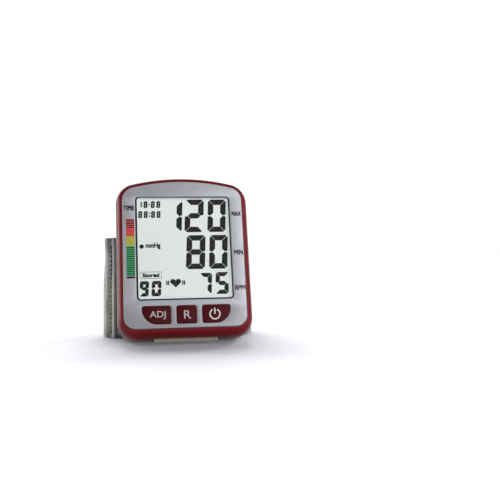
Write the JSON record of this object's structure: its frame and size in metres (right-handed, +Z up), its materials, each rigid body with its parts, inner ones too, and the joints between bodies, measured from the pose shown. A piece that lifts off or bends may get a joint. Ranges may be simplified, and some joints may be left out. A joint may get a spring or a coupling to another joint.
{
  "type": "wrist blood pressure monitor",
  "caption": "Leaning wedge housing with a framed display and push keys on a padded wrist cuff with a hook-and-loop strap; takes blood pressure at the wrist.",
  "frame": {"origin": "middle of the part's bounding box in plan, on the floor that the cuff's lower edge stands on", "axes": "+Z up along the cuff's axis, -Y the way the display faces, +X to the right of the display"},
  "size_m": [0.0816, 0.0804, 0.085],
  "materials": {
    "burgundy_shell": "satin injection-moulded ABS, burgundy",
    "silver_faceplate": "fine metallic silver paint, satin",
    "gasket_rubber": "matte dark grey",
    "clear_window": "clear polished acrylic",
    "lcd_glass": "pale reflective liquid crystal panel",
    "white_plastic": "matte",
    "silicone": "matte translucent",
    "circuit_board": "green solder mask on glass-fibre laminate",
    "black_plastic": "matte",
    "grey_plastic": "fine spark-eroded grain",
    "cell_jacket": "plain printed sleeve on steel",
    "steel": "nickel-plated",
    "charcoal_cloth": "brushed nylon loop cloth",
    "bladder_rubber": "matte",
    "grey_cloth": "nylon loop webbing",
    "hook_nylon": "nylon hook tape"
  },
  "bodies": {
    "monitor": {"front_shell": "burgundy_shell", "faceplate": "silver_faceplate", "display_gasket": "gasket_rubber", "display_lens": "clear_window", "lcd_panel": "lcd_glass", "backlight": "white_plastic", "lcd_connector": "silicone", "main_board": "circuit_board", "switch_base_set": "black_plastic", "switch_base_memory": "black_plastic", "switch_base_power": "black_plastic", "rear_case": "grey_plastic", "battery_cell_lower": "cell_jacket", "battery_cell_upper": "cell_jacket", "battery_terminal_lower": "steel", "battery_terminal_upper": "steel", "battery_spring_lower": "steel", "battery_spring_upper": "steel", "battery_bridge": "steel", "speaker": "steel", "case_screw_1": "steel", "case_screw_2": "steel", "case_screw_3": "steel", "case_screw_4": "steel", "pump_motor": "steel", "pump_head": "black_plastic", "valve_body": "black_plastic", "air_manifold": "white_plastic", "pump_hose": "silicone", "valve_hose": "silicone", "pressure_sensor": "black_plastic", "cuff_cover": "charcoal_cloth", "cuff_former": "white_plastic", "cuff_bladder": "bladder_rubber", "cuff_lining": "charcoal_cloth", "piping_top": "charcoal_cloth", "piping_bottom": "charcoal_cloth", "air_nozzle": "white_plastic", "cuff_screw_1": "steel", "cuff_screw_2": "steel", "strap_anchor": "grey_cloth"},
    "set_key": {"key_set": "burgundy_shell", "switch_plunger_set": "black_plastic"},
    "memory_key": {"key_memory": "burgundy_shell", "switch_plunger_memory": "black_plastic"},
    "power_key": {"key_power": "burgundy_shell", "switch_plunger_power": "black_plastic"},
    "door": {"battery_door": "grey_plastic"},
    "strap": {"closing_strap": "grey_cloth", "hook_tape": "hook_nylon"},
    "pump_rotor": {"pump_shaft": "steel"},
    "valve_pin": {"valve_plunger": "steel"}
  },
  "joints": [
    {"name": "set_press", "type": "slide", "parent": "monitor", "child": "set_key", "axis": [0, 0.9636, -0.2672], "range_m": [0, 0.0007], "stiffness_N_per_m": 1500},
    {"name": "memory_press", "type": "slide", "parent": "monitor", "child": "memory_key", "axis": [0, 0.9636, -0.2672], "range_m": [0, 0.0007], "stiffness_N_per_m": 1500},
    {"name": "power_press", "type": "slide", "parent": "monitor", "child": "power_key", "axis": [0, 0.9636, -0.2672], "range_m": [0, 0.0007], "stiffness_N_per_m": 1500},
    {"name": "door_hinge", "type": "hinge", "parent": "monitor", "child": "door", "pos_m": [0.00055, -0.01606, 0.0019], "axis": [1, 0, 0], "range_deg": [0, 80]},
    {"name": "strap_fold", "type": "hinge", "parent": "monitor", "child": "strap", "pos_m": [0.00646, 0.03989, 0.0273], "axis": [0, 0, -1], "range_deg": [0, 100]},
    {"name": "pump_spin", "type": "hinge", "parent": "monitor", "child": "pump_rotor", "pos_m": [0.02495, -0.01656, 0.031], "axis": [0, 0, 1], "continuous": true},
    {"name": "valve_stroke", "type": "slide", "parent": "monitor", "child": "valve_pin", "axis": [0, 0, -1], "range_m": [0, 0.0008], "stiffness_N_per_m": 300}
  ]
}
